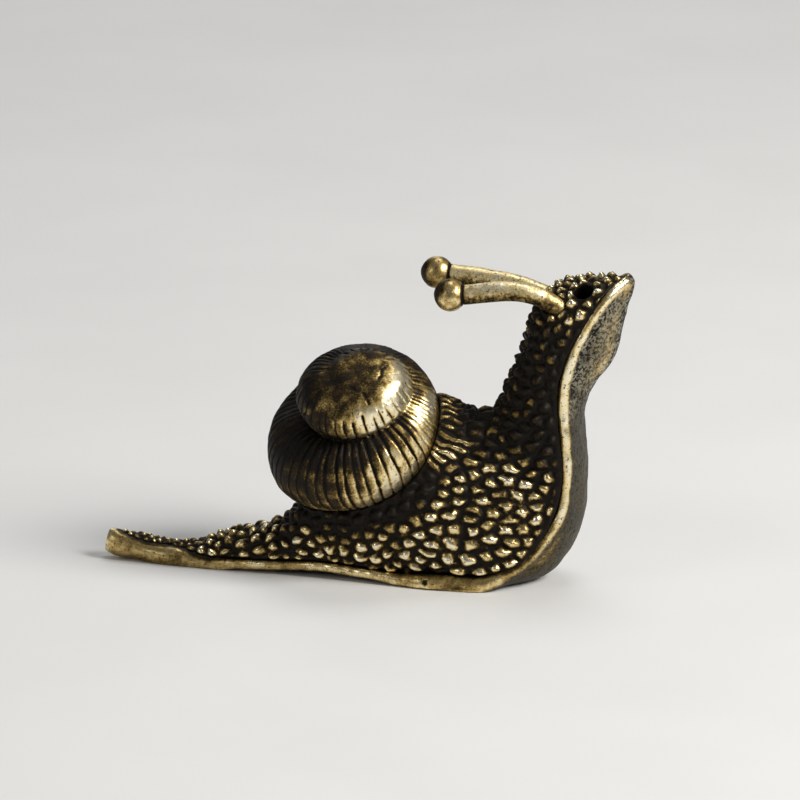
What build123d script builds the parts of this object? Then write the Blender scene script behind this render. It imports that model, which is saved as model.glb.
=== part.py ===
from build123d import *
import os
from math import cos, radians, sin

# A small cast brass snail, rearing up from its foot. Millimetres, +Z up, +X towards the head.
# The origin is on the ground, under the middle of the ornament.

# Foot plate: how far its flat stretch dips below the ground before it is cut flat, and its cross section
GROUND_SINK = 0.25
GROUND_CUT = (80, 40, 20)
NARROW_SHARE = 0.3
BULGE_POWER = 2.2
FOOT_SHARES = (-1, -0.7, -0.35, 0, 0.35, 0.7, 1)

# Each station of the foot: x and z of the rim line, the angle of the plate's inner normal from +X,
# the rim's half width, how far the middle bulges out past the rim, and the plate's thickness.
# Under the shell the rim waves up off the ground, and the middle still reaches down to it.
FOOT_STATIONS = [
    (-26.75, 1.0, 76, 0.7, 0.0, 1.9),
    (-25.9, 0.4, 84, 1.1, 0.0, 2.5),
    (-23.9, 0.1, 88, 1.55, 0.0, 2.35),
    (-21.5, 0.0, 90, 2.05, 0.0, 2.0),
    (-18.8, 0.0, 90, 2.5, 0.0, 1.7),
    (-15.6, 0.0, 90, 2.9, 0.0, 1.3),
    (-12.5, 0.25, 90, 3.35, 0.5, 1.05),
    (-8.3, 0.5, 90, 3.8, 0.75, 1.0),
    (-4.5, 0.7, 90, 4.25, 0.95, 1.0),
    (-1.4, 0.6, 90, 4.8, 0.85, 0.95),
    (2.5, 0.3, 90, 5.5, 0.55, 1.0),
    (6.0, 0.0, 90, 6.25, 0.0, 1.25),
    (9.5, 0.0, 90, 6.7, 0.0, 1.6),
    (12.6, 0.0, 95, 6.7, 0.0, 1.65),
    (14.7, 0.7, 110, 6.2, 1.1, 1.7),
    (16.85, 2.2, 126, 5.6, 2.1, 1.5),
    (18.7, 4.3, 138, 5.2, 2.15, 1.3),
    (20.5, 6.9, 154, 4.8, 1.4, 1.25),
    (21.3, 10.8, 172, 4.5, 0.9, 1.2),
    (21.2, 14.8, 182, 4.3, 0.6, 1.2),
    (20.9, 18.6, 182, 4.2, 1.2, 1.2),
    (21.3, 22.3, 165, 4.3, 2.7, 1.15),
    (22.7, 25.8, 150, 4.2, 2.9, 1.1),
    (24.3, 28.6, 142, 3.6, 2.0, 1.05),
    (25.8, 30.4, 140, 2.2, 0.9, 1.0),
    (26.6, 31.1, 140, 0.9, 0.2, 0.9),
]

# Each station of the body: x and z where it meets the foot, x and z of the back's ridge,
# and the half widths low down, at mid height and at the shoulder
BODY_STATIONS = [
    (-25.9, 0.9, -25.9, 2.6, 0.7, 0.6, 0.4),
    (-23.9, 0.5, -23.9, 2.9, 1.3, 1.1, 0.7),
    (-21.5, 0.4, -21.5, 2.4, 1.85, 1.6, 1.1),
    (-18.8, 0.4, -18.8, 2.0, 2.35, 2.1, 1.4),
    (-15.6, 0.4, -15.6, 2.75, 2.6, 2.4, 1.7),
    (-12.0, 0.4, -12.0, 3.9, 2.75, 2.85, 2.3),
    (-7.5, 0.4, -7.5, 5.9, 3.05, 3.7, 3.1),
    (-2.5, 0.4, -2.5, 9.8, 3.7, 4.7, 4.2),
    (2.0, 0.4, 2.0, 13.6, 4.7, 5.6, 4.6),
    (6.5, 0.4, 6.2, 18.4, 5.6, 6.0, 4.2),
    (10.8, 0.4, 9.4, 17.7, 6.15, 5.9, 4.0),
    (15.2, 0.9, 11.6, 17.1, 6.0, 5.5, 3.8),
    (18.6, 3.8, 12.9, 17.8, 5.3, 4.9, 3.6),
    (20.5, 8.4, 13.7, 19.3, 4.7, 4.4, 3.4),
    (20.9, 13.6, 14.7, 21.5, 4.2, 4.2, 3.3),
    (20.8, 18.6, 15.5, 23.6, 4.0, 4.1, 3.3),
    (22.1, 22.8, 16.2, 25.9, 4.0, 4.2, 3.4),
    (23.9, 26.8, 16.9, 27.9, 3.8, 4.2, 3.3),
    (25.2, 29.4, 17.7, 29.2, 2.8, 3.7, 2.6),
    (25.9, 30.9, 18.6, 30.2, 1.5, 2.5, 1.6),
    (25.6, 31.4, 20.4, 30.9, 0.6, 1.0, 0.6),
]
LOW_HEIGHT = 0.08
MID_HEIGHT = 0.42
SHOULDER_HEIGHT = 0.82

# Shell: a tube that winds up an axis leaning to the snail's right side. Its first stretch is level
# and keeps its size, and from there each turn shrinks the tube and its climb by a fixed share.
# The small upper turns drift towards the head.
FULL_TURN = 360
SHELL_BASE = (-0.35, 0.2, 12.95)
SHELL_AXIS = (0.0, -0.537, 0.844)
SHRINK_START_ANGLE = 213.6
WHORL_REACH = 9.7
WHORL_HALF_HEIGHT = 4.75
WHORL_SHRINK = 0.623
SPIRE_HEIGHT = 9.5
CLIMB_SHRINK = 0.237
LEVEL_TURNS = 0.4
SHRINKING_TURNS = 2.25
SECTIONS_PER_TURN = 12
SECTIONS_PER_SPAN = 4
WHORL_POINTS = 10
CORE_GAP = 0.3
CORE_RADIUS = 0.7
APEX_RADIUS = 3.9
APEX_SINK = 2.5
APEX_DRIFT = 1.6
DRIFT_POWER = 3

# Upright peg between the back and the shell
PEG_RADIUS = 1.5
PEG_FOOT = (-1.0, 0.0, 3.5)
PEG_LENGTH = 7.0

# Eye stalks: middle line from the socket in the head to the ball, and the radius along it
RIGHT_STALK_LINE = [
    (20.35, -2.6, 27.65),
    (19.4, -2.9, 28.75),
    (18.1, -3.2, 29.6),
    (16.7, -3.45, 30.1),
    (14.9, -3.65, 30.3),
    (12.9, -3.8, 30.15),
    (9.8, -4.0, 29.8),
]
LEFT_STALK_LINE = [
    (18.95, 2.5, 27.5),
    (17.85, 2.8, 28.2),
    (16.4, 3.1, 28.75),
    (14.55, 3.4, 29.15),
    (12.4, 3.65, 29.5),
    (10.1, 3.85, 29.7),
    (7.1, 4.0, 29.9),
]
STALK_RADII = [0.95, 0.95, 0.98, 1.0, 1.0]
BALL_RADIUS = 1.62
RIGHT_BALL = (9.0, -4.0, 29.75)
LEFT_BALL = (6.3, 4.0, 29.95)

# Blind hole in the crown, which takes a thin stick
HOLE_MOUTH = (22.05, -2.45, 30.25)
HOLE_AXIS = (0.05, -0.45, 0.89)
HOLE_RADIUS = 0.95
HOLE_DEPTH = 6.6
HOLE_OVERRUN = 1.5


def even_spline(points, closed=False):
    """A smooth line through the points, with its parameter shared out evenly among them."""
    steps = len(points) if closed else len(points) - 1
    shares = [step / steps for step in range(steps + 1)]
    return Edge.make_spline(points, periodic=closed, parameters=shares)


def foot_section(station):
    """The closed outline of the foot plate at one station: underside, rounded rims and upper side."""
    x, z, angle, half_width, bulge, thickness = station
    sink = GROUND_SINK if z == 0 else 0
    depth = thickness + sink
    edge = max(half_width - depth / 2, NARROW_SHARE * half_width)

    def at(across, height):
        height = height - sink
        return Vector(x + cos(radians(angle)) * height, across, z + sin(radians(angle)) * height)

    def dip(share):
        return bulge * (1 - abs(share) ** BULGE_POWER)

    under = [at(edge * share, -dip(share)) for share in FOOT_SHARES]
    upper = [at(edge * share, depth - dip(share)) for share in reversed(FOOT_SHARES)]
    return Wire([
        even_spline(under),
        Edge.make_three_point_arc(under[-1], at(half_width, depth / 2), upper[0]),
        even_spline(upper),
        Edge.make_three_point_arc(upper[-1], at(-half_width, depth / 2), under[0]),
    ])


def body_section(station):
    """The closed outline of the body at one station: its underside and its two flanks."""
    foot_x, foot_z, back_x, back_z, low, middle, shoulder = station
    rise = Vector(back_x - foot_x, 0, back_z - foot_z)

    def at(across, share):
        return Vector(foot_x, across, foot_z) + rise * share

    flank = [at(low, LOW_HEIGHT), at(middle, MID_HEIGHT), at(shoulder, SHOULDER_HEIGHT), at(0, 1)]
    flank += [at(-shoulder, SHOULDER_HEIGHT), at(-middle, MID_HEIGHT), at(-low, LOW_HEIGHT)]
    under = [flank[-1], at(0, 0), flank[0]]
    return Wire([even_spline(under), even_spline(flank)])


def largest(shape):
    return shape.solids().sort_by(SortBy.VOLUME)[-1]


def make_foot():
    """The foot plate, cut flat where it stands on the ground."""
    plate = Solid.make_loft([foot_section(station) for station in FOOT_STATIONS])
    ground = Pos(0, 0, -GROUND_CUT[2] / 2) * Box(*GROUND_CUT)
    return largest(plate - ground)


def whorl_section(turns, frame):
    """The outline of the shell's tube so many turns after it starts to shrink, core to outside."""
    shrinking = max(turns, 0)
    scale = WHORL_SHRINK ** shrinking
    level = SPIRE_HEIGHT * (1 - CLIMB_SHRINK ** shrinking)
    angle = radians(SHRINK_START_ANGLE + FULL_TURN * turns)
    middle = (WHORL_REACH * scale + CORE_GAP) / 2
    half_width = (WHORL_REACH * scale - CORE_GAP) / 2
    drift = APEX_DRIFT * (shrinking / SHRINKING_TURNS) ** DRIFT_POWER
    ring = []
    for number in range(WHORL_POINTS):
        around = radians(FULL_TURN * number / WHORL_POINTS)
        out = middle + half_width * cos(around)
        up = WHORL_HALF_HEIGHT * scale * sin(around)
        ring.append(frame.from_local_coords(Vector(drift + out * cos(angle), out * sin(angle), level + up)))
    return Wire([even_spline(ring, closed=True)])


def make_shell():
    """Winds the tube in short spans, each lofted through a few sections, and joins them on a core."""
    frame = Plane(origin=SHELL_BASE, z_dir=SHELL_AXIS, x_dir=(1, 0, 0))
    first = -round(LEVEL_TURNS * SECTIONS_PER_TURN)
    last = round(SHRINKING_TURNS * SECTIONS_PER_TURN)
    sections = [whorl_section(step / SECTIONS_PER_TURN, frame) for step in range(first, last + 1)]
    shell = Part() + Solid.make_cylinder(CORE_RADIUS, SPIRE_HEIGHT, frame)
    apex = frame.from_local_coords(Vector(APEX_DRIFT, 0, SPIRE_HEIGHT - APEX_SINK))
    shell = shell + Pos(apex) * Sphere(APEX_RADIUS)
    for start in range(0, len(sections) - 1, SECTIONS_PER_SPAN):
        shell = shell + Solid.make_loft(sections[start:start + SECTIONS_PER_SPAN + 1])
    print("shell in", len(shell.solids()), "solid")
    return largest(shell)


def make_peg():
    return Solid.make_cylinder(PEG_RADIUS, PEG_LENGTH, Plane(origin=PEG_FOOT))


def make_stalk(line):
    """A tapering rod: circles square to a smooth line through the given points."""
    path = Edge.make_spline([Vector(*point) for point in line])
    rings = []
    for number, radius in enumerate(STALK_RADII):
        share = number / (len(STALK_RADII) - 1)
        plane = Plane(origin=path.position_at(share), z_dir=path.tangent_at(share), x_dir=(0, 1, 0))
        rings.append(Wire([Edge.make_circle(radius, plane)]))
    return Solid.make_loft(rings)


def make_ball(middle):
    return largest(Pos(*middle) * Sphere(BALL_RADIUS))


def make_hole():
    """The drill that makes the blind hole, long enough to run out past its mouth."""
    axis = Vector(*HOLE_AXIS).normalized()
    bottom = Vector(*HOLE_MOUTH) - axis * HOLE_DEPTH
    return Solid.make_cylinder(HOLE_RADIUS, HOLE_DEPTH + HOLE_OVERRUN, Plane(origin=bottom, z_dir=axis))


def make_body(foot, shell, peg, stalks):
    """The body, fitted onto the foot plate, with the shell's seat, the sockets and the hole cut in."""
    body = Solid.make_loft([body_section(station) for station in BODY_STATIONS])
    body = largest(body - foot)
    for fitted in [shell, peg, make_hole()] + stalks:
        body = largest(body - fitted)
    return body


foot = make_foot()
whole_shell = make_shell()
peg = make_peg()
stalks = [make_stalk(RIGHT_STALK_LINE), make_stalk(LEFT_STALK_LINE)]
balls = [make_ball(RIGHT_BALL), make_ball(LEFT_BALL)]
parts = {
    "foot_sole": foot,
    "body": make_body(foot, whole_shell, peg, stalks),
    "shell": largest(whole_shell - peg),
    "shell_peg": peg,
    "right_eye_stalk": largest(stalks[0] - balls[0]),
    "left_eye_stalk": largest(stalks[1] - balls[1]),
    "right_eye_ball": balls[0],
    "left_eye_ball": balls[1],
}

os.makedirs("parts", exist_ok=True)
for name, solid in parts.items():
    export_step(solid, f"parts/{name}.step")
    box = solid.bounding_box()
    print(name, "valid" if solid.is_valid else "NOT VALID", round(solid.volume, 2), box.min, box.max)
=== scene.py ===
import itertools
import math

import bpy
import numpy as np
from mathutils import Matrix, Vector
from mathutils.bvhtree import BVHTree
from mathutils.kdtree import KDTree


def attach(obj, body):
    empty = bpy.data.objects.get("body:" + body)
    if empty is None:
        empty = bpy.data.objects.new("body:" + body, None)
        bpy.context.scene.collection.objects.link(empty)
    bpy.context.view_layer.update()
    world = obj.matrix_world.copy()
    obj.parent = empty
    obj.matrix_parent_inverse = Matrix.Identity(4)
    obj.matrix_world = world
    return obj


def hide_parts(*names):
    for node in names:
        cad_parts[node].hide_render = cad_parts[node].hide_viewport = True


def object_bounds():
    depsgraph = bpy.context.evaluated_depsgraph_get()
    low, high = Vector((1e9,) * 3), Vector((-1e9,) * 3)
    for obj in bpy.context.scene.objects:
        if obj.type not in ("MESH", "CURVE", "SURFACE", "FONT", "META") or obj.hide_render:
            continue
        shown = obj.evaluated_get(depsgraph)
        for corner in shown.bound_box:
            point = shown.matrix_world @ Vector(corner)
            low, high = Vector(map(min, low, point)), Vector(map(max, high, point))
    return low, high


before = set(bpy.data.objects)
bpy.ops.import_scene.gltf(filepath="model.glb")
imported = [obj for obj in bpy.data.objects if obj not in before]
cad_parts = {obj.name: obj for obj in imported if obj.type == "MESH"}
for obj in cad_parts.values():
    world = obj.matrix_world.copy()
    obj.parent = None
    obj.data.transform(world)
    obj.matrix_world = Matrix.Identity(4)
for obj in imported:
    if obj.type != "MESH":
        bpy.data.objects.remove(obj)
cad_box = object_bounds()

# Everything is shaped in millimetres and turned into metres when a piece is finished
MM = 0.001
CAD_LIMITS = np.array([list(corner) for corner in cad_box]) / MM

# Grain of the meshes in mm, and how near two points of a solid's mesh are when they are one point
BODY_GRAIN = 0.164
PLATE_GRAIN = 0.2
SHELL_GRAIN = 0.125
STALK_GRAIN = 0.1
MERGE_DISTANCE = 0.0005

# The photograph's view: its direction in degrees, and its distance, lens and middle in mm
VIEW_AZIMUTH = 10
VIEW_ELEVATION = 15
VIEW_DISTANCE = 1000
VIEW_LENS = 450
VIEW_TARGET = (2.390, 4.876, 16.372)
SENSOR_WIDTH = 36

# The studio, in metres and watts: each lamp has a name, place, width, power and colour
FLOOR_WIDTH = 3.2
FLOOR_COLOUR = (0.78, 0.775, 0.76, 1)
FLOOR_SHADE = (0.7566, 0.75175, 0.7372, 1)
LAMP_TARGET = (0, 0, 0.015)
LAMPS = (
    ("key", (0.46, -0.13, 0.38), 0.30, 3.9, (1, 0.98, 0.95)),
    ("fill", (-0.45, -0.40, 0.30), 0.30, 0.5, (0.96, 0.98, 1)),
    ("top", (0.05, 0.18, 0.55), 0.25, 0.7, (1, 1, 1)),
    ("back", (-0.15, 0.50, 0.28), 0.30, 0.25, (0.98, 0.99, 1)),
)
WORLD_COLOUR = (0.8, 0.82, 0.85, 1)
WORLD_STRENGTH = 0.17

# Colours of the brass, from a pale gold painted as a highlight on the most rubbed places to the black
# patina, and of the worn flat of the sole, paler where it is painted as lit
PAINTED_HIGHLIGHT_GOLD = (1.0, 0.90, 0.64, 1)
BRIGHT_GOLD = (0.90, 0.73, 0.38, 1)
WARM_BRASS = (0.50, 0.355, 0.135, 1)
OLIVE_BRASS = (0.175, 0.122, 0.04, 1)
BROWN_PATINA = (0.055, 0.036, 0.016, 1)
BLACK_PATINA = (0.014, 0.011, 0.008, 1)
DULL_BRASS = (0.10, 0.095, 0.075, 1)
LIT_PALE_BRASS = (0.40, 0.385, 0.31, 1)

# The shell's coil, as the solid has it: its base, its axis, and how the tube shrinks with each turn
SHELL_BASE = np.array((-0.35, 0.2, 12.95))
SHELL_AXIS = np.array((0.0, -0.537, 0.844))
SHRINK_START_ANGLE = math.radians(213.6)
WHORL_REACH = 9.7
WHORL_HALF_HEIGHT = 4.75
WHORL_SHRINK = 0.623
SPIRE_HEIGHT = 9.5
CLIMB_SHRINK = 0.237
LEVEL_TURNS = 0.4
SHRINKING_TURNS = 2.25
CORE_GAP = 0.3
APEX_DRIFT = 1.6
DRIFT_POWER = 3

# Finding a point's turn of the coil: what is tried, and the large miss that puts turns past the ends last
WHOLE_TURNS = range(-1, 4)
DRIFT_ROUNDS = 4
END_SLACK = 0.02
PAST_THE_ENDS = 1e6

# Ribs of the shell: the pitch in mm at each turn of the coil, and how far in turns they go past its ends
RIB_PITCH = (
    (-0.4, 0.75), (-0.15, 0.85), (0.02, 1.2), (0.25, 1.15), (0.36, 0.65),
    (0.7, 0.6), (0.9, 0.9), (1.3, 1.0), (2.3, 0.8),
)
RIBS_PAST_END = 0.1

# Depths on the shell in mm: grooves between ribs of the usual pitch, the seam of the coil, and casting flaws
GROOVE_DEPTH = 0.3
USUAL_PITCH = 1.1
SEAM_DEPTH = 0.25
FLAW_DEPTH = 0.1

# Casting flaws on the worn top of the shell, as short lines
FLAWS = (
    ((2.75, -4.6, 22.4), (2.3, -5.3, 22.2), (2.4, -5.9, 21.8), (2.0, -6.5, 21.3)),
    ((-0.7, -7.3, 20.9), (0.0, -7.5, 20.6)),
    ((0.8, -7.7, 20.6), (1.1, -7.9, 20.1), (1.6, -8.3, 19.5)),
)

# The lower whorl is drawn in a little on the tail side, in the notch below the upper whorl
NOTCH = np.array((-7.9, -1.0, 18.3))
NOTCH_REACH = 4.2
NOTCH_DEPTH = 0.7

# Beads of skin: their slant, then at each x their length as a share of their width, and their width in mm
BEAD_SLANT = math.radians(10)
BEAD_LENGTH = (
    (-27, 1.0), (-12, 1.0), (-6, 1.2), (3, 1.3), (7, 1.6), (13, 1.65), (17, 1.2), (27, 1.0),
)
BEAD_WIDTH = (
    (-27, 0.75), (-20, 0.95), (-17, 1.15), (-13, 1.4), (-4, 1.3), (8, 1.25), (16, 1.35), (27, 1.35),
)

# Where along the body the layout of the long beads and that of the neck's round ones agree
NECK_START = 15

# How beads are packed and shaped: shares of a bead's width or reach, and the gap between beads in mm
BEAD_SPACING = 0.79
BEAD_REACH = 0.58
BEAD_SIZES = (0.86, 1.12)
BORDER_SLOPE = 0.36
EDGE_SLOPE = 0.85
BEAD_HEIGHT = 0.46
BEAD_GAP = 0.14
PACKING_SEED = 11

# Between the beads the skin lies this much below the solid, and folds are this high and this many all round
HOLLOW_DEPTH = 0.2
FOLD_HEIGHT = 0.36
FOLDS_ROUND = 72

# The smooth strip of skin beside the plate: its width in mm at each height, and its share at each x
STRIP_WIDTH = ((0, 0.3), (3, 0.35), (7, 0.85), (20, 0.8), (26, 0.4), (29, 0.3))
STRIP_SHARE = ((-26, 0.2), (-17, 0.4), (-12, 1))

# The stick hole in the crown, the ring of beads round it, and the largest beads of the head
HOLE_MOUTH = np.array((22.05, -2.45, 30.25))
HOLE_AXIS = np.array((0.05007, -0.45065, 0.89129))
HOLE_RADIUS = 0.95
HOLE_BEAD_RING = 1.62
HOLE_BEADS = 8
LARGE_BEADS = ((22.6, -0.4, 31.0), (24.7, 0.3, 31.2), (20.9, -3.6, 29.1), (22.6, -3.7, 29.3))
LARGE_BEAD_WIDTH = 1.75
STALK_SOCKET = np.array((20.7, -3.8, 28.6))

# A casting pit on the rim of the plate, below the flank
RIM_PIT = np.array((6.9, -6.6, 0.85))
RIM_PIT_DEPTH = 0.15


def smoothstep(low, high, value):
    """A soft step from 0 at the low value to 1 at the high one."""
    share = np.clip((value - low) / (high - low), 0, 1)
    return share * share * (3 - 2 * share)


def stations(table, value):
    """Reads a table of places and values at the given places."""
    places, values = zip(*table)
    return np.interp(value, places, values)


def unit(vector):
    return vector / np.linalg.norm(vector)


def clouds(points, size, seed):
    """Smooth random values from -1 to 1 that change over about the given size."""
    cells = 32
    lattice = np.random.default_rng(seed).uniform(-1, 1, (cells, cells, cells))
    place = points / size
    cell = np.floor(place).astype(int)
    part = smoothstep(0, 1, place - cell)
    total = np.zeros(len(points))
    for corner in itertools.product((0, 1), repeat=3):
        weight = np.prod(np.where(corner, part, 1 - part), axis=1)
        index = (cell + corner) % cells
        total += weight * lattice[index[:, 0], index[:, 1], index[:, 2]]
    return total


def tree_of(points):
    """A search tree of the points."""
    tree = KDTree(len(points))
    for number, point in enumerate(points):
        tree.insert(point, number)
    tree.balance()
    return tree


def scatter(points, spacing, seed, first):
    """Picks points that lie about their own spacing apart: the first ones, then in a drawn order."""
    tree = tree_of(points)
    covered = np.zeros(len(points), bool)
    chosen = []
    for number in itertools.chain(first, np.random.default_rng(seed).permutation(len(points))):
        if not covered[number]:
            chosen.append(number)
            for _, near, _ in tree.find_range(points[number], spacing[number]):
                covered[near] = True
    return np.array(chosen)


def even_out(points, centres, rounds):
    """Moves each centre to the middle of the points that are nearest to it."""
    for _ in range(rounds):
        tree = tree_of(centres)
        nearest = np.array([tree.find(point)[1] for point in points])
        count = np.maximum(np.bincount(nearest, minlength=len(centres)), 1)
        sums = [np.bincount(nearest, points[:, axis], len(centres)) for axis in range(3)]
        centres = np.stack(sums, 1) / count[:, None]
    return centres


def cells_of(points, centres):
    """For each point: its nearest centre, and the distances to that one and to the next."""
    tree = tree_of(centres)
    found = [tree.find_n(point, 2) for point in points]
    owner = np.array([pair[0][1] for pair in found])
    near = np.array([pair[0][2] for pair in found])
    far = np.array([pair[1][2] for pair in found])
    return owner, near, far


def pack_beads(points, width, first):
    """Packs beads over points, the first ones before the others.

    Gives for each point the number of its bead, and how far in it is: 0 at the edge and 1 in the middle.
    """
    chosen = scatter(points, width * BEAD_SPACING, PACKING_SEED, first)
    owner, near, far = cells_of(points, even_out(points, points[chosen], 2))
    size = np.random.default_rng(PACKING_SEED + 1).uniform(*BEAD_SIZES, len(chosen))[owner]
    from_border = np.maximum(((far - near) / 2 - BEAD_GAP / 2) / (BORDER_SLOPE * width), 0.001)
    from_edge = np.maximum((1 - near / (BEAD_REACH * width * size)) / EDGE_SLOPE, 0.001)
    soft_minimum = (from_border ** -3 + from_edge ** -3) ** (-1 / 3)
    return owner, np.clip(soft_minimum, 0, 1)


class Casting:
    """A copy of a solid as a fine, even mesh in mm, with its points, normals and edges as arrays."""

    def __init__(self, node, name, grain):
        bpy.ops.object.select_all(action="DESELECT")
        self.node = node
        self.object = bpy.data.objects.new(name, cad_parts[node].data.copy())
        bpy.context.scene.collection.objects.link(self.object)
        self.object.data.transform(Matrix.Scale(1 / MM, 4))
        bpy.context.view_layer.objects.active = self.object
        self.object.select_set(True)
        bpy.ops.object.mode_set(mode="EDIT")
        bpy.ops.mesh.select_all(action="SELECT")
        bpy.ops.mesh.remove_doubles(threshold=MERGE_DISTANCE)
        bpy.ops.object.mode_set(mode="OBJECT")
        remesh = self.object.modifiers.new("grain", "REMESH")
        remesh.mode = "VOXEL"
        remesh.voxel_size = grain
        bpy.ops.object.modifier_apply(modifier="grain")
        edges = np.zeros(len(self.object.data.edges) * 2, np.int32)
        self.object.data.edges.foreach_get("vertices", edges)
        edges = edges.reshape(-1, 2)
        self.ends = np.concatenate((edges[:, 0], edges[:, 1]))
        self.others = np.concatenate((edges[:, 1], edges[:, 0]))
        self.read()
        self.links = np.maximum(np.bincount(self.ends, minlength=len(self.points)), 1)

    def read(self):
        """Reads the points and their normals from the mesh."""
        mesh = self.object.data
        values = np.zeros(len(mesh.vertices) * 3)
        mesh.vertices.foreach_get("co", values)
        self.points = values.reshape(-1, 3).copy()
        mesh.vertices.foreach_get("normal", values)
        self.normals = values.reshape(-1, 3).copy()

    def write(self, points):
        """Moves the points to new places, within the solid model's box."""
        self.object.data.vertices.foreach_set("co", np.clip(points, *CAD_LIMITS).ravel())
        self.object.data.update()
        self.read()

    def average(self, field, rounds):
        """The field, smoothed over neighbouring points that many times."""
        for _ in range(rounds):
            if field.ndim == 1:
                field = (field + np.bincount(self.ends, field[self.others], len(field)) / self.links) / 2
            else:
                field = np.stack([self.average(column, 1) for column in field.T], 1)
        return field

    def push(self, distance):
        """Moves each point out along its normal by its own distance."""
        self.write(self.points + self.normals * distance[:, None])

    def proud(self, rounds):
        """How far in mm each point stands out from its smoothed place."""
        return np.sum((self.points - self.average(self.points, rounds)) * self.normals, axis=1)

    def mark(self, name, values):
        """Keeps a value for each point, for the material to read."""
        attribute = self.object.data.attributes.new(name, "FLOAT", "POINT")
        attribute.data.foreach_set("value", values.astype(np.float32))

    def finish(self, material, slot):
        """Turns the piece into metres and puts it in the place of its solid."""
        self.object.data.transform(Matrix.Scale(MM, 4))
        self.object.data.materials.clear()
        self.object.data.materials.append(material)
        self.object.data.polygons.foreach_set("use_smooth", [True] * len(self.object.data.polygons))
        self.object.data.update()
        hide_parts(self.node)
        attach(self.object, "root")


def gap_to(node, points):
    """The distance in mm from each point to the surface of a solid."""
    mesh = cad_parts[node].data
    places = [vertex.co for vertex in mesh.vertices]
    surface = BVHTree.FromPolygons(places, [polygon.vertices[:] for polygon in mesh.polygons])
    return np.array([surface.find_nearest(Vector(point) * MM)[3] for point in points]) / MM


def gap_to_line(points, line):
    """The distance from each point to a line of straight pieces."""
    best = np.full(len(points), np.inf)
    for start, end in zip(np.array(line)[:-1], np.array(line)[1:]):
        share = np.clip((points - start) @ (end - start) / np.sum((end - start) ** 2), 0, 1)
        best = np.minimum(best, np.linalg.norm(points - start - share[:, None] * (end - start), axis=1))
    return best


def nearest_to(places, points):
    """The number of the point that is nearest to each place."""
    return [int(np.argmin(np.sum((points - place) ** 2, axis=1))) for place in places]


# Materials

class Signal:
    """A socket of a material, with the arithmetic that the finishes use."""

    def __init__(self, finish, socket):
        self.finish = finish
        self.socket = socket

    def math(self, operation, first, second):
        return self.finish.add("ShaderNodeMath", {"operation": operation}, {0: first, 1: second})

    def __add__(self, other):
        return self.math("ADD", self, other)

    __radd__ = __add__

    def __sub__(self, other):
        return self.math("SUBTRACT", self, other)

    def __rsub__(self, other):
        return self.math("SUBTRACT", other, self)

    def __mul__(self, other):
        return self.math("MULTIPLY", self, other)

    __rmul__ = __mul__

    def ramp(self, low, high):
        """A soft step from 0 at the low value to 1 at the high one."""
        inputs = {"Value": self, "From Min": low, "From Max": high}
        return self.finish.add("ShaderNodeMapRange", {"interpolation_type": "SMOOTHSTEP"}, inputs)


class Finish:
    """A material under construction."""

    def __init__(self, name):
        self.material = bpy.data.materials.new(name)
        self.material.use_nodes = True
        self.tree = self.material.node_tree
        self.tree.nodes.clear()
        self.place = self.add("ShaderNodeTexCoord", {}, {}, "Object")

    def add(self, kind, settings, inputs, output=0):
        """Adds a node, with its settings, then its inputs, and gives back one of its outputs."""
        node = self.tree.nodes.new(kind)
        for name, value in settings.items():
            setattr(node, name, value)
        for name, value in inputs.items():
            if isinstance(value, Signal):
                self.tree.links.new(value.socket, node.inputs[name])
            else:
                node.inputs[name].default_value = value
        return Signal(self, node.outputs[output]) if len(node.outputs) else node

    def marked(self, name):
        """The value that the mesh keeps for each point under this name, or 0."""
        return self.add("ShaderNodeAttribute", {"attribute_name": name}, {}, "Fac")

    def noise(self, size, detail=3.0, roughness=0.55, stretch=(1, 1, 1)):
        """Cloudy values round 0.5 that change over about the given size in mm."""
        place = self.add("ShaderNodeMapping", {}, {"Vector": self.place, "Scale": stretch})
        inputs = {"Vector": place, "Scale": 1 / (size * MM), "Detail": detail, "Roughness": roughness}
        return self.add("ShaderNodeTexNoise", {}, inputs, "Fac")

    def mix(self, share, first, second):
        return self.add("ShaderNodeMix", {"data_type": "RGBA"}, {0: share, 6: first, 7: second}, 2)

    def bump(self, height, strength, distance):
        inputs = {"Height": height, "Strength": strength, "Distance": distance * MM}
        return self.add("ShaderNodeBump", {}, inputs)

    def surface(self, inputs):
        """Ends the material with its shader and gives it back."""
        shader = self.add("ShaderNodeBsdfPrincipled", {}, inputs)
        self.add("ShaderNodeOutputMaterial", {}, {"Surface": shader})
        return self.material


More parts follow.
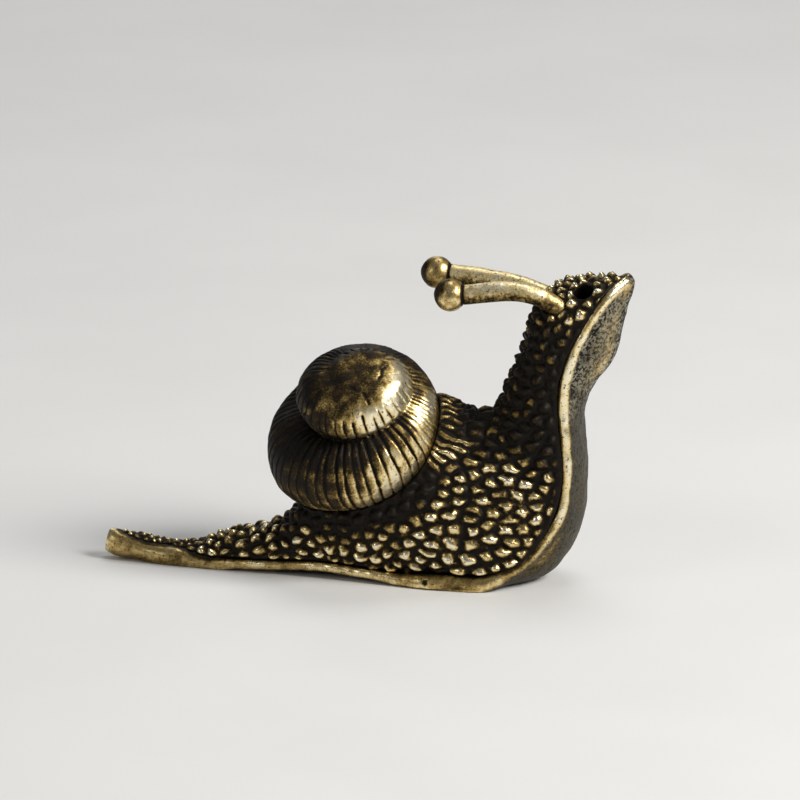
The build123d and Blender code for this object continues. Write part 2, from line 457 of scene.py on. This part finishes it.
def antique_brass(name, gloss, grain):
    """Cast brass, black where it isn't rubbed, brown and olive where it is a little, gold where it is a lot,
    and pale gold, a painted highlight, where it is most.
    How rubbed a place is marked is partly real wear and partly painted light and shade.

    It is smoother by the gloss where it is rubbed, and its colours are broken up finely by the grain.
    """
    finish = Finish(name)
    patches = finish.noise(2.6, 3)
    grit = finish.noise(0.2, 4, 0.7)
    specks = finish.noise(0.3, 2, 0.6)
    mottle = finish.noise(0.7, 3, 0.6)
    rubbed_and_lit = finish.marked("rubbed_and_lit") + (patches - 0.5) * 0.3 + (mottle - 0.5) * 0.45 + (grit - 0.5) * grain
    colour = finish.mix(rubbed_and_lit.ramp(0.18, 0.36), BLACK_PATINA, BROWN_PATINA)
    colour = finish.mix(rubbed_and_lit.ramp(0.34, 0.5), colour, OLIVE_BRASS)
    colour = finish.mix(rubbed_and_lit.ramp(0.48, 0.68), colour, WARM_BRASS)
    colour = finish.mix(rubbed_and_lit.ramp(0.66, 0.86), colour, BRIGHT_GOLD)
    colour = finish.mix(rubbed_and_lit.ramp(0.86, 1.1), colour, PAINTED_HIGHLIGHT_GOLD)

    # The flat of the sole is scratched and grey instead, and under the head it is painted paler where it
    # faces the key lamp, as a painted lit side
    scratches = finish.noise(0.25, 3, 0.6, (1, 1, 0.12))
    worn_and_lit_flat = finish.mix(finish.marked("lit_pale") * patches.ramp(0.35, 0.55), DULL_BRASS, LIT_PALE_BRASS)
    colour = finish.mix(finish.marked("flat") * scratches.ramp(0.2, 0.5) * 0.85, colour, worn_and_lit_flat)

    # Black pits are few, and many where the piece is peppered
    peppered = finish.marked("peppered") * specks.ramp(0.46, 0.53) * 0.9
    pitted = peppered + (1 - peppered) * specks.ramp(0.59, 0.67) * 0.75
    height = grit * 0.45 - pitted * 0.6 + finish.noise(0.08, 2) * 0.25
    return finish.surface({
        "Base Color": finish.mix(pitted, colour, BLACK_PATINA),
        "Metallic": rubbed_and_lit.ramp(0.1, 0.4) * 0.2 + 0.8,
        "Roughness": 0.56 - rubbed_and_lit.ramp(0.45, 0.8) * gloss + (grit - 0.5) * 0.25 + pitted * 0.2,
        "Normal": finish.bump(height, 0.45, 0.05),
    })


def plain_cast(name):
    """Bare cast brass."""
    finish = Finish(name)
    grit = finish.noise(0.3, 3)
    colour = finish.mix(grit.ramp(0.35, 0.7), OLIVE_BRASS, WARM_BRASS)
    return finish.surface({"Base Color": colour, "Metallic": 1.0, "Roughness": 0.4 + grit * 0.3})


def stage_floor(name):
    """Pale and matt, with hardly visible clouds."""
    finish = Finish(name)
    colour = finish.mix(finish.noise(30, 2).ramp(0.3, 0.7), FLOOR_COLOUR, FLOOR_SHADE)
    return finish.surface({"Base Color": colour, "Roughness": 0.9})


# The body: beads of skin, folds round the shell, and the hole in the crown

def bead_places(points):
    """The points, drawn together along the body as much as the beads are to be long."""
    lengthwise = np.array((math.cos(BEAD_SLANT), 0, -math.sin(BEAD_SLANT)))
    upwards = np.array((math.sin(BEAD_SLANT), 0, math.cos(BEAD_SLANT)))
    along = points @ lengthwise
    step = 0.1
    grid = np.arange(-32, 32, step)
    drawn_grid = np.cumsum(step / stations(BEAD_LENGTH, grid))
    drawn = np.interp(along, grid, drawn_grid)
    round_beads = along - NECK_START + np.interp(NECK_START, grid, drawn_grid)
    on_neck = smoothstep(15, 19, points[:, 2])
    even = np.stack((drawn * (1 - on_neck) + round_beads * on_neck, points[:, 1], points @ upwards), 1)
    wobble = [0.16 * clouds(points, 0.7, seed) for seed in (71, 72, 73)]
    return even + np.stack(wobble, 1)


def hole_ring():
    """The places of the beads round the hole."""
    first = unit(np.cross(HOLE_AXIS, (0, 1, 0)))
    second = np.cross(HOLE_AXIS, first)
    ring = []
    for number in range(HOLE_BEADS):
        angle = 2 * math.pi * number / HOLE_BEADS
        ring.append(HOLE_MOUTH + HOLE_BEAD_RING * (math.cos(angle) * first + math.sin(angle) * second))
    return ring


def skin_beads(points, head):
    """Beads, long on the flank, round on the neck, small on the tail and the head.

    Gives for each point how far in its bead it is, its height in mm, and how worn its bead is.
    """
    x, _, z = points.T
    width = stations(BEAD_WIDTH, x) - 0.15 * smoothstep(20, 27, z) - 0.1 * head
    for place in LARGE_BEADS:
        width = np.where(np.linalg.norm(points - place, axis=1) < 0.4, LARGE_BEAD_WIDTH, width)
    first = nearest_to([*LARGE_BEADS, *hole_ring()], points)
    owner, inward = pack_beads(bead_places(points), width, first)
    dome = 1 - (1 - inward) ** 2
    draws = np.random.default_rng(5)
    tall = draws.uniform(0.75, 1.15, len(points))[owner]
    worn = draws.uniform(-0.42, 0.1, len(points))[owner]
    return inward, BEAD_HEIGHT * stations(BEAD_WIDTH, x) * tall * dome, worn


def mantle_folds(points, shell_gap):
    """Folds that fan out from the shell's edge: where they are, and how high in its fold each point is."""
    x, _, z = points.T
    _, side, back = shell_frame(points)
    turned = np.arctan2(back, side)
    mantle = smoothstep(3.4, 2.0, shell_gap + 1.1 * clouds(points, 1.8, 3)) * smoothstep(10.5, 13, z)
    mantle = mantle * smoothstep(2.5, 6, x)
    warp = 1.4 * clouds(points, 2.2, 8) + 0.8 * clouds(points, 0.9, 9)
    folds = np.abs(np.sin(turned * FOLDS_ROUND / 2 + warp))
    return mantle, np.clip(folds ** 2.6 * (0.9 + 0.9 * clouds(points, 0.8, 10)), 0, 1)


def make_body():
    body = Casting("body", "snail_body", BODY_GRAIN)
    body.write(body.average(body.points, 2))
    points = body.points
    x, _, z = points.T
    head = smoothstep(28.2, 29.8, z)
    shell_gap = gap_to("shell", points)
    plate_gap = gap_to("foot_sole", points)
    stalk_gap = np.minimum(gap_to("right_eye_stalk", points), gap_to("left_eye_stalk", points))
    hole_arm = points - HOLE_MOUTH
    hole_height = hole_arm @ HOLE_AXIS
    hole_gap = np.linalg.norm(hole_arm - np.outer(hole_height, HOLE_AXIS), axis=1) - HOLE_RADIUS

    # The relief ends where the skin meets the shell, the plate, the hole and the stalks
    inward, bead_height, worn = skin_beads(points, head)
    mantle, folds = mantle_folds(points, shell_gap)
    strip = stations(STRIP_WIDTH, z) * stations(STRIP_SHARE, x)
    clear = smoothstep(0.02, 0.3, shell_gap) * smoothstep(0.35 * strip, strip, plate_gap)
    clear = clear * smoothstep(0.02, 0.25, hole_gap) * smoothstep(0.03, 0.25, stalk_gap)
    relief = bead_height * (1 - mantle) + FOLD_HEIGHT * folds * mantle
    lumps = 0.05 * clouds(points, 1.2, 21) + 0.035 * clouds(points, 0.4, 23)
    body.push(body.average((relief + lumps - HOLLOW_DEPTH) * clear, 1))

    # Bead tops are rubbed bright; the skin is brightest on the flank, darker on the neck and the tail, and
    # darkest under and beside the shell, which is painted shade
    shade_under_shell = smoothstep(4.2, 0.8, shell_gap) * smoothstep(14, 11, z)
    at_socket = smoothstep(2.6, 1.2, np.linalg.norm(points - STALK_SOCKET, axis=1))
    wear_and_shade = 1.05 - 0.6 * smoothstep(11, 16.5, z) + 0.2 * smoothstep(24, 28, z) + 0.55 * head
    wear_and_shade = wear_and_shade + 0.3 * at_socket - 0.12 * smoothstep(-6, -14, x)
    wear_and_shade = wear_and_shade - 0.8 * shade_under_shell + 0.2 * mantle + worn
    height_share = inward * (1 - mantle) + folds * mantle
    ragged = height_share + 0.18 * clouds(points, 0.45, 22) + 0.2 * clouds(points, 0.25, 24)
    rubbed_and_lit = wear_and_shade * smoothstep(0.0, 0.7, ragged) + 0.1 * at_socket + 0.12 * head
    rubbed_and_lit = rubbed_and_lit + 0.13 * smoothstep(13, 9, z) - 0.13 * shade_under_shell
    inside_hole = (hole_gap < 0.05) & (hole_height < -0.2)
    # Where the skin meets the shell, the plate, the hole and the stalks it is painted dark as well, as
    # painted shade
    body.mark("rubbed_and_lit", np.where(inside_hole, -1.0, rubbed_and_lit * clear))
    body.finish(antique_brass("beaded_brass", 0.32, 0.65), "antique_brass")


# The plate under the foot and up the neck, with its raised rim

def make_plate():
    plate = Casting("foot_sole", "snail_foot_plate", PLATE_GRAIN)
    plate.write(plate.average(plate.points, 3))
    points = plate.points
    z = points[:, 2]
    on_head = smoothstep(16, 21, z)

    # The rim is what faces sideways, and on the head what also stands proud
    sideways = np.abs(plate.normals[:, 1])
    edge = smoothstep(-0.02, 0.1, plate.proud(50)) * smoothstep(0.3, 0.6, sideways)
    rim = plate.average(smoothstep(0.45, 0.75, sideways) * (1 - on_head) + edge * on_head, 3)
    waves = 0.12 * clouds(points, 3.4, 31) + 0.07 * clouds(points, 1.3, 32) + 0.03 * clouds(points, 0.6, 33)
    body_gap = gap_to("body", points)
    free = smoothstep(0.05, 0.3, body_gap) * smoothstep(0.02, 0.3, z)
    pit_gap = np.linalg.norm(points - RIM_PIT, axis=1) + 0.12 * clouds(points, 0.4, 35)
    pit = smoothstep(0.45, 0.2, pit_gap)
    plate.push(waves * free - RIM_PIT_DEPTH * pit)

    # Rubbed places: the crest of the rim, most on the neck, where it reaches the painted highlight; where
    # the plate meets the skin it is darkened as painted shade
    front = smoothstep(0.05, 0.35, plate.normals[:, 0]) * (1 - rim)
    crest = np.clip(plate.proud(14) / 0.12, -1, 1)
    rubbed_and_lit = 0.47 + 0.4 * crest - 0.4 * smoothstep(0.5, 0.1, body_gap) + 0.35 * smoothstep(2, 9, z)
    rubbed_and_lit = rubbed_and_lit - 0.6 * pit
    plate.mark("rubbed_and_lit", rubbed_and_lit * (1 - front) + 0.4 * front + 0.14 * clouds(points, 1.6, 34))
    plate.mark("flat", front)
    # Under the head the flat is painted paler where it faces the key lamp, as a painted lit side
    plate.mark("lit_pale", on_head * smoothstep(0.3, 0.75, plate.normals[:, 0]))
    plate.mark("peppered", front * (0.3 + 0.7 * on_head))
    plate.finish(antique_brass("rim_brass", 0.3, 0.45), "rubbed_brass")


# The shell: a tapering coil with ribs across it, worn smooth on top

def shell_frame(points):
    """The points in the coil's own frame: along its axis, and the two directions across it."""
    axis = unit(SHELL_AXIS)
    side = np.array((1.0, 0.0, 0.0))
    local = points - SHELL_BASE
    return local @ axis, local @ side, local @ np.cross(axis, side)


def coil_places(points):
    """For each point of the shell: its turn of the coil, its angle round the tube, and its reach."""
    along, side, back = shell_frame(points)
    best = np.full(len(points), np.inf)
    turn = np.zeros(len(points))
    around = np.zeros(len(points))
    reach = np.zeros(len(points))
    for number in WHOLE_TURNS:
        turns = np.zeros(len(points)) + number
        for _ in range(DRIFT_ROUNDS):
            drift = APEX_DRIFT * (np.maximum(turns, 0) / SHRINKING_TURNS) ** DRIFT_POWER
            angle = np.arctan2(back, side - drift)
            turns = np.mod(angle - SHRINK_START_ANGLE, 2 * math.pi) / (2 * math.pi) + number
        shrinking = np.maximum(turns, 0)
        scale = WHORL_SHRINK ** shrinking
        level = SPIRE_HEIGHT * (1 - CLIMB_SHRINK ** shrinking)
        out = np.hypot(side - drift, back)
        middle = (WHORL_REACH * scale + CORE_GAP) / 2
        half_width = (WHORL_REACH * scale - CORE_GAP) / 2
        across = (out - middle) / half_width
        upwards = (along - level) / (WHORL_HALF_HEIGHT * scale)
        miss = np.abs(np.hypot(across, upwards) - 1) * scale
        past = (turns < -LEVEL_TURNS - END_SLACK) | (turns > SHRINKING_TURNS + END_SLACK)
        miss = np.where(past, PAST_THE_ENDS, miss)
        better = miss < best
        best = np.where(better, miss, best)
        turn = np.where(better, turns, turn)
        around = np.where(better, np.arctan2(upwards, across), around)
        reach = np.where(better, out, reach)
    return turn, around, reach


def rib_lines():
    """The turns of the coil at which the grooves between the ribs lie, and how deep each groove is."""
    draws = np.random.default_rng(17)
    lines = [-LEVEL_TURNS - RIBS_PAST_END]
    while lines[-1] < SHRINKING_TURNS + RIBS_PAST_END:
        reach = WHORL_REACH * WHORL_SHRINK ** max(lines[-1], 0)
        pitch = stations(RIB_PITCH, lines[-1]) * draws.uniform(0.75, 1.25)
        lines.append(lines[-1] + pitch / (2 * math.pi * reach))
    return np.array(lines), draws.uniform(0.5, 1.0, len(lines))


def rib_grooves(points, turn, around, reach):
    """For each point: how far it is into the nearest groove, and how strong that groove is there."""
    lines, depths = rib_lines()
    slanted = turn + 0.012 * around + 0.002 * clouds(points, 2.4, 41)
    place = np.clip(np.searchsorted(lines, slanted), 1, len(lines) - 1)
    after_line = slanted - lines[place - 1]
    before_line = lines[place] - slanted
    nearer = np.where(after_line < before_line, place - 1, place)
    off = np.minimum(after_line, before_line) * 2 * math.pi * reach
    inner = smoothstep(1, 0.45, reach / (WHORL_REACH * WHORL_SHRINK ** np.maximum(turn, 0)))
    half_groove = (0.1 * stations(RIB_PITCH, turn) + 0.1 * inner) * (1 + 0.5 * clouds(points, 0.8, 42))
    groove = 1 - smoothstep(0.35 * half_groove, 1.4 * half_groove, off)
    return groove, depths[nearer] * (0.85 + 0.5 * clouds(points, 1.0, 43)) + 0.2 * inner


def make_shell():
    shell = Casting("shell", "snail_shell", SHELL_GRAIN)
    shell.write(shell.average(shell.points, 3))
    along, _, back = shell_frame(shell.points)
    top = smoothstep(7.2, 8.4, along)[:, None]
    shell.write(shell.points * (1 - top) + shell.average(shell.points, 200) * top)
    points = shell.points
    seam = shell.average(smoothstep(-0.03, -0.12, shell.proud(24)), 2) * (1 - top[:, 0])
    turn, around, reach = coil_places(points)

    # Grooves are weak towards the head and gone on the worn top, which starts higher up on the far rim
    groove, strength = rib_grooves(points, turn, around, reach)
    upper = smoothstep(0.72, 0.8, turn)
    far_rim = 1.3 * smoothstep(0, 4, back)
    worn_top = upper * smoothstep(8.4, 9.9, along - far_rim + 0.9 * clouds(points, 0.9, 44))
    towards_head = smoothstep(0.29, 0.38, turn) * smoothstep(0.8, 0.66, turn)
    strength = strength * (1 - worn_top) * (1 - towards_head * (0.72 - 0.4 * clouds(points, 1.2, 50)))
    ragged = 0.14 * clouds(points, 0.4, 47) + 0.1 * clouds(points, 0.2, 51)
    flaws = np.max([smoothstep(0.2, 0.05, gap_to_line(points, line) + ragged) for line in FLAWS], axis=0)
    lumps = 0.05 * clouds(points, 1.4, 45) + 0.03 * clouds(points, 0.5, 46)
    pitch_share = (stations(RIB_PITCH, turn) / USUAL_PITCH) ** 0.5
    depth = GROOVE_DEPTH * pitch_share * groove * strength + SEAM_DEPTH * seam + FLAW_DEPTH * flaws
    in_notch = smoothstep(NOTCH_REACH, 0, np.linalg.norm(points - NOTCH, axis=1)) * (1 - upper)
    depth = depth + NOTCH_DEPTH * in_notch
    body_gap = gap_to("body", points)
    shell.push((lumps - depth) * smoothstep(0.0, 0.2, body_gap))

    # Lighter where the shell faces the key lamp towards the head, as painted light, and on the far side as
    # wear; darker on the tail side and the top as painted shade, though raised on the worn top of the upper
    # whorl; darkened beside the body as painted shade
    out_x, out_y, out_z = shell.average(shell.normals, 4).T
    lamp_side_and_wear = np.maximum(out_x - 0.5 * smoothstep(-0.45, 0.3, out_y), out_y - 0.3) - 0.4 * out_z
    lamp_side_and_wear = lamp_side_and_wear + 0.3 * upper * smoothstep(7, 9, along) + 0.35 * clouds(points, 1.8, 48)
    rubbed_and_lit = 0.17 + 0.2 * smoothstep(-0.9, 0, lamp_side_and_wear) + 0.68 * smoothstep(0, 0.8, lamp_side_and_wear)
    rubbed_and_lit = rubbed_and_lit + 0.22 * clouds(points, 0.9, 49) - 0.95 * groove * strength - 0.8 * seam - 0.6 * flaws
    shell.mark("rubbed_and_lit", rubbed_and_lit - 0.6 * smoothstep(1.1, 0.2, body_gap))
    shell.finish(antique_brass("ribbed_brass", 0.24, 0.8), "shell_brass")


def make_peg():
    """The peg is out of sight, so it stays the plain solid."""
    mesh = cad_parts["shell_peg"].data
    mesh.materials.clear()
    mesh.materials.append(plain_cast("peg_brass"))


# The eyes: a stalk and a ball on each side

def make_stalk(side):
    stalk = Casting(f"{side}_eye_stalk", f"snail_{side}_stalk", STALK_GRAIN)
    stalk.write(stalk.average(stalk.points, 1))
    points = stalk.points
    root = smoothstep(17, 19, points[:, 0])
    lumps = 0.04 * clouds(points, 1.5, 51) + 0.02 * clouds(points, 0.6, 52)
    stalk.push(lumps + 0.12 * root * clouds(points, 0.8, 53))
    ball_gap = gap_to(f"{side}_eye_ball", points)
    shaded_underside = smoothstep(0.4, -0.5, stalk.normals[:, 2])
    # The top reaches the pale gold that is painted as a highlight; the underside is painted darker, as
    # painted shade, and is also more pitted
    rubbed_and_lit = 0.92 - 0.42 * shaded_underside + 0.12 * clouds(points, 0.7, 54) - 0.15 * root
    stalk.mark("rubbed_and_lit", rubbed_and_lit - 0.7 * smoothstep(0.25, 0.05, ball_gap))
    stalk.mark("peppered", 0.25 + 0.6 * shaded_underside)
    stalk.finish(antique_brass(f"{side}_stalk_brass", 0.14, 0.4), "polished_brass")


def make_ball(side):
    ball = Casting(f"{side}_eye_ball", f"snail_{side}_ball", STALK_GRAIN)
    points = ball.points
    ball.push(0.03 * clouds(points, 1.0, 61) + 0.015 * clouds(points, 0.4, 62))
    stalk_gap = gap_to(f"{side}_eye_stalk", points)
    shaded_tail_side = smoothstep(0.0, -0.8, ball.normals[:, 0] + 0.3 * clouds(points, 0.8, 63))
    # The side towards the tail, away from the key lamp, is painted darker as painted shade
    rubbed_and_lit = 0.68 - 0.36 * shaded_tail_side + 0.18 * clouds(points, 0.6, 64)
    ball.mark("rubbed_and_lit", rubbed_and_lit - 0.9 * smoothstep(0.25, 0.05, stalk_gap))
    ball.finish(antique_brass(f"{side}_ball_brass", 0.3, 0.4), "polished_brass")


# The studio

def make_stage():
    """A pale floor that reaches far past the camera's view."""
    bpy.ops.object.select_all(action="DESELECT")
    bpy.ops.mesh.primitive_plane_add(size=FLOOR_WIDTH, location=(0, 0, 0))
    floor = bpy.context.object
    floor.name = "floor"
    floor.data.materials.append(stage_floor("pale_floor"))


def add_lamp(name, place, width, power, colour):
    lamp = bpy.data.lights.new(name, "AREA")
    lamp.shape = "DISK"
    lamp.size = width
    lamp.energy = power
    lamp.color = colour
    holder = bpy.data.objects.new(name, lamp)
    bpy.context.scene.collection.objects.link(holder)
    holder.location = place
    towards = Vector(LAMP_TARGET) - Vector(place)
    holder.rotation_euler = towards.to_track_quat("-Z", "Y").to_euler()


def make_light():
    for lamp in LAMPS:
        add_lamp(*lamp)
    world = bpy.data.worlds.new("studio")
    bpy.context.scene.world = world
    world.use_nodes = True
    tree = world.node_tree
    tree.nodes.clear()
    background = tree.nodes.new("ShaderNodeBackground")
    background.inputs["Color"].default_value = WORLD_COLOUR
    background.inputs["Strength"].default_value = WORLD_STRENGTH
    output = tree.nodes.new("ShaderNodeOutputWorld")
    tree.links.new(background.outputs[0], output.inputs[0])


def make_camera():
    azimuth = math.radians(VIEW_AZIMUTH)
    elevation = math.radians(VIEW_ELEVATION)
    away = Vector((
        math.sin(azimuth) * math.cos(elevation),
        -math.cos(azimuth) * math.cos(elevation),
        math.sin(elevation),
    ))
    lens = bpy.data.cameras.new("photograph")
    lens.lens = VIEW_LENS
    lens.sensor_width = SENSOR_WIDTH
    lens.clip_start = 0.01
    camera = bpy.data.objects.new("photograph", lens)
    bpy.context.scene.collection.objects.link(camera)
    camera.location = (Vector(VIEW_TARGET) + away * VIEW_DISTANCE) * MM
    camera.rotation_euler = (-away).to_track_quat("-Z", "Y").to_euler()
    bpy.context.scene.camera = camera


make_camera()
make_light()
make_stage()
make_body()
make_plate()
make_shell()
for side in ("right", "left"):
    make_stalk(side)
    make_ball(side)
make_peg()

bpy.context.scene.view_settings.view_transform = "Standard"
